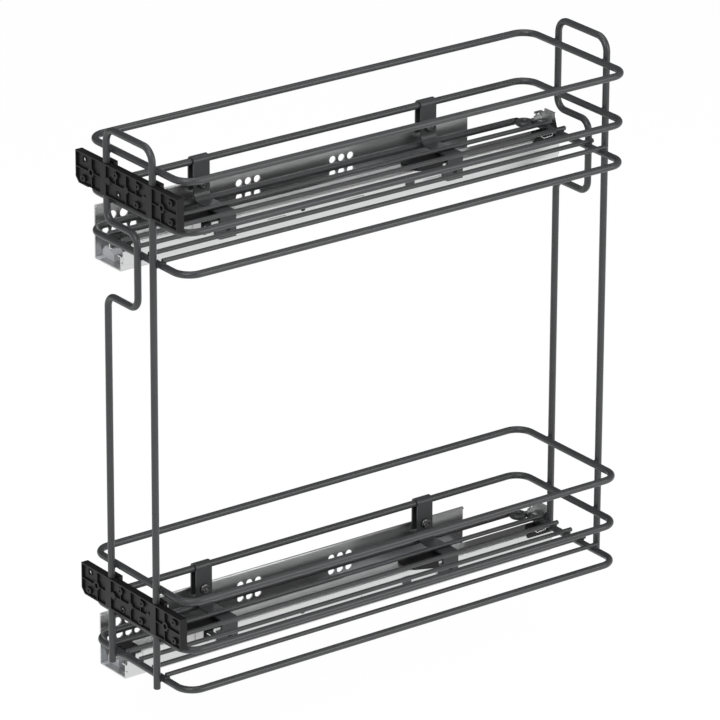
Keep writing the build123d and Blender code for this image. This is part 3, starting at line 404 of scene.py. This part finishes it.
# %% [markdown]
# ### Metal finishes
#
# Zinc-coated strip mirrors softly. The drawn lines change both its tone and its
# roughness, and the crystals shift the tone a little from patch to patch. The balls
# and the damper's rod use the same nodes with a tighter, brighter setting.


# %% Metal finishes
CRYSTAL_SHARE = 0.08
# Lighter metal edges: partly wear, partly a painted highlight.
METAL_EDGE_WEAR_AND_HIGHLIGHT = (grey(0.8), 0.3)


def drawn_finish(name, dark, light, rough, depth, crystals):
    """Bare or zinc-coated metal with lines along its length."""
    material, tree, shader, vector = start_material(name, Metallic=1.0)
    drawn = place_group(tree, DRAWN, vector, Crystals=crystals)
    edges = place_group(tree, EDGES)
    share = add(tree, "ShaderNodeMix", {"Factor": CRYSTAL_SHARE}, data_type="FLOAT")
    tree.links.new(drawn.outputs["Lines"], share.inputs["A"])
    tree.links.new(drawn.outputs["Crystals"], share.inputs["B"])
    base = two_tone(tree, share.outputs["Result"], dark, light)
    # Edges turn lighter in colour: partly wear, partly a painted highlight.
    edge_wear_and_painted_highlight(tree, shader, base, edges, *METAL_EDGE_WEAR_AND_HIGHLIGHT)
    roughness_range(tree, shader, share.outputs["Result"], rough[0], rough[1])
    raise_bump(tree, shader, drawn.outputs["Height"], depth, edges.outputs["Normal"])
    return material


zinc = drawn_finish(
    "zinc_strip",
    grey(0.63, GREENISH),
    grey(0.67, GREENISH),
    (0.31, 0.34),
    0.000001,
    160.0,
)
bright_steel = drawn_finish(
    "bright_steel", grey(0.68), grey(0.8), (0.1, 0.2), 0.000005, 900.0
)
print("metal finishes", [zinc.name, bright_steel.name])

# %% [markdown]
# ## Dressing the measured parts
#
# Every measured part keeps its mesh and takes a finish. The record already says which
# material each part is made of, so a table from those names to the finishes above is
# enough, and no part is forgotten.

# %% Give every measured part its finish
FINISH = {
    "wire_paint": wire_coat,
    "clip_paint": clip_coat,
    "black_plastic": plate_plastic,
    "screw_black": screw_coat,
    "zinc": zinc,
    "steel_bright": bright_steel,
    "grey_plastic": light_plastic,
    "white_plastic": white_plastic,
}
slot_of = {s["node"]: s["material_slot"] for s in frame["record"]["subparts"]}
for name, obj in nodes.items():
    obj.data.materials.clear()
    obj.data.materials.append(FINISH[slot_of[name]])
print("dressed", len(nodes), "parts")

# %% [markdown]
# ## Weld beads
#
# Wires like these are usually welded where they cross, which leaves a small flattened
# bead under the paint. A bead is a squashed ball, so all of them come from one formula,
# placed at each crossing as one array.


# %% Surfaces from grids
def grid_faces(rows, columns):
    """Quads between neighbours of a grid, closed round its columns."""
    r, c = np.meshgrid(np.arange(rows - 1), np.arange(columns), indexing="ij")
    after = (c + 1) % columns
    here, above = r * columns, (r + 1) * columns
    quads = (here + c, here + after, above + after, above + c)
    return np.stack(quads, axis=-1).reshape(-1, 4)


def make_piece(name, points, faces, material, body):
    """Mesh from point and face arrays, smooth shaded and riding on a body."""
    mesh = bpy.data.meshes.new(name)
    mesh.from_pydata(points.tolist(), [], faces)
    mesh.validate()
    mesh.shade_smooth()
    mesh.materials.append(material)
    obj = bpy.data.objects.new(name, mesh)
    bpy.context.collection.objects.link(obj)
    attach(obj, body)
    return obj


def pole_faces(ring, pole):
    """Triangles from a ring of points to one pole point."""
    return [[a, b, pole] for a, b in zip(ring, np.roll(ring, -1))]


def squashed_balls(centres, sizes, rows=7, columns=16):
    """Ellipsoids, all at once: centre + size * (cos u cos v, cos u sin v, sin u)."""
    u = np.linspace(-math.pi / 2, math.pi / 2, rows + 2)[1:-1, None]
    v = np.linspace(0, 2 * math.pi, columns, endpoint=False)[None, :]
    parts = [np.cos(u) * np.cos(v), np.cos(u) * np.sin(v), np.sin(u) * np.ones_like(v)]
    middle = np.stack(parts, axis=-1).reshape(-1, 3)
    unit = np.vstack([middle, [[0, 0, -1], [0, 0, 1]]])
    points = centres[:, None, :] + sizes[:, None, :] * unit[None, :, :]
    steps = np.arange(len(centres))[:, None, None] * len(unit)
    quads = (grid_faces(rows, columns)[None] + steps).reshape(-1, 4)
    first = np.arange(columns)
    below = pole_faces(first[::-1], len(middle))
    above = pole_faces(first + (rows - 1) * columns, len(middle) + 1)
    fans = (np.array(below + above)[None] + steps).reshape(-1, 3)
    return points.reshape(-1, 3), quads.tolist() + fans.tolist()


# %% Where the wires cross
def span(node, axis):
    """Lowest and highest place of a measured part along one axis."""
    low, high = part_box(node)
    return low[axis], high[axis]


WIRE = 6 * MM
FLOOR_WIRE = 4 * MM
FLOOR_WIRES = 5
FLOOR_BEAD = (2.5 * MM, 2.9 * MM, 0.9 * MM)
LEG_BEAD = (2.9 * MM, 0.9 * MM, 2.7 * MM)
JOG_SHIFT = 43 * MM


def basket_level(basket):
    """Height of a basket's bottom ring."""
    low, high = span(basket + "_bottom_ring", 2)
    return (low + high) / 2


def bead_places(basket):
    """Centres and sizes of all beads of one basket; the upper left legs step aside."""
    level = basket_level(basket)
    centres, sizes = [], []
    ends = span(basket + "_bottom_ring", 1)
    ring_ends = (ends[0] + WIRE / 2, ends[1] - WIRE / 2)
    wires = span(basket + "_floor_wires", 0)
    first, last = wires[0] + FLOOR_WIRE / 2, wires[1] - FLOOR_WIRE / 2
    for x in np.linspace(first, last, FLOOR_WIRES):
        for y in ring_ends:
            centres.append((x, y, level + WIRE / 2))
            sizes.append(FLOOR_BEAD)
    legs = span("front_frame", 0)
    for ring in ("bottom", "mid", "top"):
        low, high = span(basket + "_" + ring + "_ring", 2)
        z = (low + high) / 2
        for x in (legs[0] + WIRE / 2, legs[1] - WIRE / 2):
            jogged = basket == "upper" and ring == "bottom" and x < legs[0] + WIRE
            if jogged:
                x = x + JOG_SHIFT
            for y in (ends[0], ends[1]):
                centres.append((x, y, z))
                sizes.append(LEG_BEAD)
    return np.array(centres), np.array(sizes)


for basket in ("upper", "lower"):
    centres, sizes = bead_places(basket)
    points, faces = squashed_balls(centres, sizes)
    make_piece(basket + "_weld_beads", points, faces, wire_coat, "rack")
    print(basket, "weld beads", len(centres))

# %% [markdown]
# ## Stop studs
#
# One dark stud shows on the side of each drawer profile, two fifths of the way back.
# What it is for can't be told from the photograph. A squashed ball stands for it.

# %% Stop studs
DRAWER_WIDTH = 20.5 * MM
STUD_SIZE = np.array([[0.7 * MM, 2.3 * MM, 1.2 * MM]])
STUD_BACK = 179.7 * MM
STUD_DROP = 9.5 * MM
for basket in ("upper", "lower"):
    low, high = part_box(basket + "_drawer_profile")
    side = low[0] + DRAWER_WIDTH
    centre = np.array([[side, low[1] + STUD_BACK, high[2] - STUD_DROP]])
    points, faces = squashed_balls(centre, STUD_SIZE)
    make_piece(basket + "_stop_stud", points, faces, plate_plastic, "rack")
print("stop studs 2")

# %% [markdown]
# ## Stop tabs and painted slot shade
#
# A flat tab shows on each drawer profile's side in front of the rear clip. The slot in
# each clip's foot lies deep in shade and shows black. A black pad, painted shade, lies on
# the foot's face for it, a little above the measured slot, so that it shows past the
# wire. Tab and pad have soft corners: raising a ball's coordinates to a small power
# swells it towards a box.


# %% Soft pads
def soft_pads(centres, sizes, power=0.3):
    """Centre + size * sign(b) |b|^power, where b runs over a ball's surface."""
    ball, faces = squashed_balls(np.zeros_like(centres), np.ones_like(sizes))
    ball = ball.reshape(len(centres), -1, 3)
    swollen = np.sign(ball) * np.abs(ball) ** power
    points = centres[:, None, :] + sizes[:, None, :] * swollen
    return points.reshape(-1, 3), faces


TAB_SIZE = np.array([[0.5 * MM, 4.6 * MM, 3.5 * MM]])
TAB_BACK = 290 * MM
TAB_DROP = 8.6 * MM
TAB_STAND = 0.4 * MM
SLOT_SHADE_SIZE = np.array([[0.25 * MM, 1.9 * MM, 1.1 * MM]])
SLOT_SHADE_RISE = 7 * MM
CLIP_HALF = 8 * MM
for basket in ("upper", "lower"):
    low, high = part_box(basket + "_drawer_profile")
    side = low[0] + DRAWER_WIDTH + TAB_STAND
    centre = np.array([[side, low[1] + TAB_BACK, high[2] - TAB_DROP]])
    points, faces = soft_pads(centre, TAB_SIZE)
    make_piece(basket + "_stop_tab", points, faces, clip_coat, "rack")
    # Black pads on the clips' feet are painted shade for the deep slots.
    clips = [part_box(basket + part) for part in ("_front_clip", "_rear_clip")]
    places = [(top[0], top[1] - CLIP_HALF, foot[2] + SLOT_SHADE_RISE) for foot, top in clips]
    points, faces = soft_pads(np.array(places), SLOT_SHADE_SIZE.repeat(2, axis=0))
    make_piece(basket + "_painted_slot_shade", points, faces, plate_plastic, "rack")
print("stop tabs 2, painted slot shades 4")

# %% [markdown]
# ## Rolled flange edges
#
# The wall bracket's upper edge shows as one light line, which is taken for a rolled
# edge. The roll is half a circle carried along Y, and it narrows at both ends, where a
# flat face closes it.


# %% Rolled edges
def roll(x, z, radius, y0, y1, turns=12):
    """Half tube with closed ends: (x + r cos t, y, z + r sin t) for t from 0 to pi."""
    t = np.linspace(0, math.pi, turns)[None, :]
    y = np.array([y1, y1 - radius / 2, y0 + radius / 2, y0])[:, None]
    reach = radius * np.array([0.6, 1.0, 1.0, 0.6])[:, None]
    rows = [x + reach * np.cos(t), y + 0 * t, z + reach * np.sin(t)]
    points = np.stack(rows, axis=-1).reshape(-1, 3)
    first = np.arange(turns)
    ends = [first[::-1].tolist(), (first + 3 * turns).tolist()]
    return points, grid_faces(4, turns).tolist() + ends


BRACKET_SHEET = 1.2 * MM
BRACKET_FRONT = 12 * MM
FLANGE_REAR = 394 * MM
ROLL_SINK = 0.05 * MM
for basket in ("upper", "lower"):
    low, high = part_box(basket + "_wall_bracket")
    rear = low[1] + FLANGE_REAR - BRACKET_FRONT
    points, faces = roll(BRACKET_SHEET, high[2] - ROLL_SINK, BRACKET_SHEET, low[1], rear)
    make_piece(basket + "_rolled_edge", points, faces, zinc, "cabinet_side")
print("rolled edges 2")

# %% [markdown]
# ## Spring wires
#
# Two bright wires show among the dark plastic. One lies slantwise over each latch
# lever, and one is bent round the cheek of each rear cap. A tube carries a circle along
# a curve, and the curve runs smoothly through a few bends.


# %% Tubes along curves
def smooth_line(bends, steps):
    """Curve through the bends: 0.7 of the straight way and 0.3 of one eased by a cosine."""
    bends = np.array(bends, dtype=float)
    t = np.linspace(0, len(bends) - 1, steps)
    low = np.minimum(t.astype(int), len(bends) - 2)
    along = (t - low)[:, None]
    share = 0.5 - 0.5 * np.cos(math.pi * along)
    straight = bends[low] * (1 - along) + bends[low + 1] * along
    eased = bends[low] * (1 - share) + bends[low + 1] * share
    return 0.7 * straight + 0.3 * eased


def tube(line, radius, sides=12):
    """Circle r (n cos a + b sin a) carried along a line, narrowed and closed at its ends."""
    tangent = np.gradient(line, axis=0)
    tangent /= np.linalg.norm(tangent, axis=1)[:, None]
    side = np.cross(tangent, (1.0, 0.0, 0.0))
    side /= np.linalg.norm(side, axis=1)[:, None]
    other = np.cross(tangent, side)
    a = np.linspace(0, 2 * math.pi, sides, endpoint=False)[None, :, None]
    reach = np.full(len(line), radius)
    reach[0] = reach[-1] = radius * 0.4
    ring = side[:, None, :] * np.cos(a) + other[:, None, :] * np.sin(a)
    points = line[:, None, :] + reach[:, None, None] * ring
    first = np.arange(sides)
    last = first + (len(line) - 1) * sides
    caps = [first[::-1].tolist(), last.tolist()]
    return points.reshape(-1, 3), grid_faces(len(line), sides).tolist() + caps


# %% Latch and cap springs
SPRING = 0.45 * MM
LATCH_STEPS, CAP_STEPS = 40, 48
for basket in ("upper", "lower"):
    low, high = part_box(basket + "_latch_lever")
    x = high[0] + SPRING * 0.6
    bends = [
        (x, low[1] + 0.4 * MM, high[2] - 0.8 * MM),
        (x, low[1] + 3.5 * MM, high[2] - 3.2 * MM),
        (x, low[1] + 6.5 * MM, low[2] + 3.2 * MM),
        (x, high[1] - 1.0 * MM, low[2] + 3.0 * MM),
    ]
    points, faces = tube(smooth_line(bends, LATCH_STEPS), SPRING)
    make_piece(basket + "_latch_spring", points, faces, bright_steel, basket + "_latch")
    low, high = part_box(basket + "_rear_cap")
    x = high[0] + SPRING * 0.7
    bends = [
        (x, high[1] - 21.5 * MM, high[2] - 1.6 * MM),
        (x, high[1] - 18.0 * MM, high[2] - 4.4 * MM),
        (x, high[1] - 9.0 * MM, high[2] - 3.6 * MM),
        (x, high[1] - 8.6 * MM, high[2] - 1.2 * MM),
    ]
    points, faces = tube(smooth_line(bends, CAP_STEPS), SPRING)
    make_piece(basket + "_cap_spring", points, faces, bright_steel, "rack")
print("springs 4")

# %% [markdown]
# ## Floor, backdrop and light
#
# The rack hangs on a cabinet wall, so the floor lies a plinth's height under it. To the
# camera the floor is white and the world behind it pale grey, but the light on the
# object stays plain, which keeps the dark wires dark. The floor's glow makes up nine
# tenths of what the camera sees there, and the lit paint the rest, so that a faint
# shadow stays.

# %% Floor
FLOOR_DROP = 0.06
FLOOR_REACH = 6.0
CAMERA_GLOW = 0.9
GLOW_STRENGTH = 1.04


def floor_sheet(z, reach, bins=24):
    """Flat grid at one height, centred under the rack."""
    s = np.linspace(-reach, reach, bins)
    x, y = np.meshgrid(s, s, indexing="ij")
    points = np.stack([x, y, np.full_like(x, z)], axis=-1).reshape(-1, 3)
    r, c = np.meshgrid(np.arange(bins - 1), np.arange(bins - 1), indexing="ij")
    first = r * bins + c
    faces = np.stack([first, first + bins, first + bins + 1, first + 1], axis=-1)
    return points, faces.reshape(-1, 4)


points, faces = floor_sheet(cad_low[2] - FLOOR_DROP, FLOOR_REACH)
mesh = bpy.data.meshes.new("floor")
mesh.from_pydata(points.tolist(), [], faces.tolist())
floor = bpy.data.objects.new("floor", mesh)
bpy.context.collection.objects.link(floor)
floor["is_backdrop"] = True

floor_paint = bpy.data.materials.new("pale_floor")
floor_paint.use_nodes = True
tree = floor_paint.node_tree
shader = tree.nodes["Principled BSDF"]
shader.inputs["Roughness"].default_value = 0.9
place = add(tree, "ShaderNodeTexCoord")
grain = place_group(tree, GRAIN, place.outputs["Object"], Cloud=3.0)
tone = two_tone(tree, grain.outputs["Cloud"], grey(0.86), grey(0.88))
tree.links.new(tone.outputs["Result"], shader.inputs["Base Color"])


def ray_kinds(tree):
    """1 for camera rays, and 1 for glossy and transmission rays, as two values."""
    path = add(tree, "ShaderNodeLightPath")
    mirror = add(tree, "ShaderNodeMath", operation="MAXIMUM")
    tree.links.new(path.outputs["Is Glossy Ray"], mirror.inputs[0])
    tree.links.new(path.outputs["Is Transmission Ray"], mirror.inputs[1])
    return path.outputs["Is Camera Ray"], mirror.outputs["Value"]


def scaled(tree, value, factor):
    """A value times a factor, which is a number or another value."""
    node = add(tree, "ShaderNodeMath", operation="MULTIPLY")
    tree.links.new(value, node.inputs[0])
    if isinstance(factor, float):
        node.inputs[1].default_value = factor
    else:
        tree.links.new(factor, node.inputs[1])
    return node.outputs["Value"]


def paper_value(tree):
    """1 on the paper round the rack, falling off over the dimmer room beyond it."""
    place = add(tree, "ShaderNodeTexCoord")
    length = add(tree, "ShaderNodeVectorMath", operation="LENGTH")
    tree.links.new(place.outputs["Object"], length.inputs[0])
    fall = add(
        tree,
        "ShaderNodeMapRange",
        {"From Min": 0.7, "From Max": 2.2, "To Min": 0.96, "To Max": 0.38},
        interpolation_type="SMOOTHSTEP",
    )
    tree.links.new(length.outputs["Value"], fall.inputs["Value"])
    return fall.outputs["Result"]


camera_ray, mirror_ray = ray_kinds(tree)
total = add(tree, "ShaderNodeMath", operation="ADD")
tree.links.new(scaled(tree, camera_ray, CAMERA_GLOW), total.inputs[0])
tree.links.new(scaled(tree, mirror_ray, paper_value(tree)), total.inputs[1])
glow = add(tree, "ShaderNodeEmission", {"Strength": GLOW_STRENGTH})
blend = add(tree, "ShaderNodeMixShader")
tree.links.new(total.outputs["Value"], blend.inputs["Fac"])
tree.links.new(shader.outputs["BSDF"], blend.inputs[1])
tree.links.new(glow.outputs["Emission"], blend.inputs[2])
tree.links.new(blend.outputs["Shader"], tree.nodes["Material Output"].inputs["Surface"])
floor.data.materials.append(floor_paint)

# %% [markdown]
# ### The room
#
# Metal shows what stands round it. Its mirrored rays see a room that is darker on the
# left, dimmer overhead, and bright in front, where a window would be. The camera sees
# pale grey, and all other rays see one plain tone.

# %% World
PLAIN_LIGHT = 0.42
LEFT_WALL, RIGHT_WALL = 0.12, 0.6
OVERHEAD = 0.6
WINDOW = 0.6
world = bpy.data.worlds.new("studio")
world.use_nodes = True
bpy.context.scene.world = world
tree = world.node_tree
plain = tree.nodes["Background"]
plain.inputs["Color"].default_value = (1, 1, 1, 1)
plain.inputs["Strength"].default_value = PLAIN_LIGHT
white = add(tree, "ShaderNodeBackground", {"Strength": 1.0})
room = add(tree, "ShaderNodeBackground")
direction = add(tree, "ShaderNodeTexCoord")
split = add(tree, "ShaderNodeSeparateXYZ")
tree.links.new(direction.outputs["Generated"], split.inputs["Vector"])
wall = add(
    tree,
    "ShaderNodeMapRange",
    {"From Min": -0.7, "From Max": 0.7, "To Min": LEFT_WALL, "To Max": RIGHT_WALL},
)
tree.links.new(split.outputs["X"], wall.inputs["Value"])
ceiling = add(tree, "ShaderNodeMapRange", {"To Min": 1.0, "To Max": OVERHEAD})
tree.links.new(split.outputs["Z"], ceiling.inputs["Value"])
window = add(
    tree,
    "ShaderNodeMapRange",
    {"From Min": -0.25, "From Max": -0.65, "To Min": 0.0, "To Max": WINDOW},
)
tree.links.new(split.outputs["Y"], window.inputs["Value"])
brighter = add(tree, "ShaderNodeMath", operation="MAXIMUM")
walls = scaled(tree, wall.outputs["Result"], ceiling.outputs["Result"])
tree.links.new(walls, brighter.inputs[0])
tree.links.new(window.outputs["Result"], brighter.inputs[1])
tree.links.new(brighter.outputs["Value"], room.inputs["Strength"])
camera_ray, mirror_ray = ray_kinds(tree)
first = add(tree, "ShaderNodeMixShader")
tree.links.new(mirror_ray, first.inputs["Fac"])
tree.links.new(plain.outputs["Background"], first.inputs[1])
tree.links.new(room.outputs["Background"], first.inputs[2])
blend = add(tree, "ShaderNodeMixShader")
tree.links.new(camera_ray, blend.inputs["Fac"])
tree.links.new(first.outputs["Shader"], blend.inputs[1])
tree.links.new(white.outputs["Background"], blend.inputs[2])
tree.links.new(blend.outputs["Shader"], tree.nodes["World Output"].inputs["Surface"])


# %% [markdown]
# ### Lamps
#
# Four large soft lamps shape the round wires. The key lamp stands in front on the
# right, and the others lift the side, the top and the far side a little. Small lamps
# would draw hard lines along every wire.


# %% Lamps
def soft_lamp(name, place, aim, size, power):
    """Square area lamp that points at a place on the rack."""
    lamp = bpy.data.lights.new(name, "AREA")
    lamp.size = size
    lamp.energy = power
    obj = bpy.data.objects.new(name, lamp)
    bpy.context.collection.objects.link(obj)
    obj.location = place
    obj.rotation_euler = (Vector(aim) - Vector(place)).to_track_quat("-Z", "Y").to_euler()
    return obj


middle = (cad_low + cad_high) / 2
soft_lamp("key", (1.2, -1.6, 1.9), middle, 1.4, 26)
soft_lamp("side", (2.0, 0.8, 0.8), middle, 1.2, 12)
soft_lamp("top", (0.0, 0.2, 2.0), middle, 1.6, 14)
soft_lamp("far_side", (2.2, 1.65, 0.55), middle, 1.0, 7)
bpy.context.scene.view_settings.view_transform = "Standard"

# %% Sizes
seen_low, seen_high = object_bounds()
sizes = {
    "cad": [list(cad_low), list(cad_high)],
    "visual": [list(seen_low), list(seen_high)],
}
print("visual box", [round(v, 4) for v in seen_low], [round(v, 4) for v in seen_high])
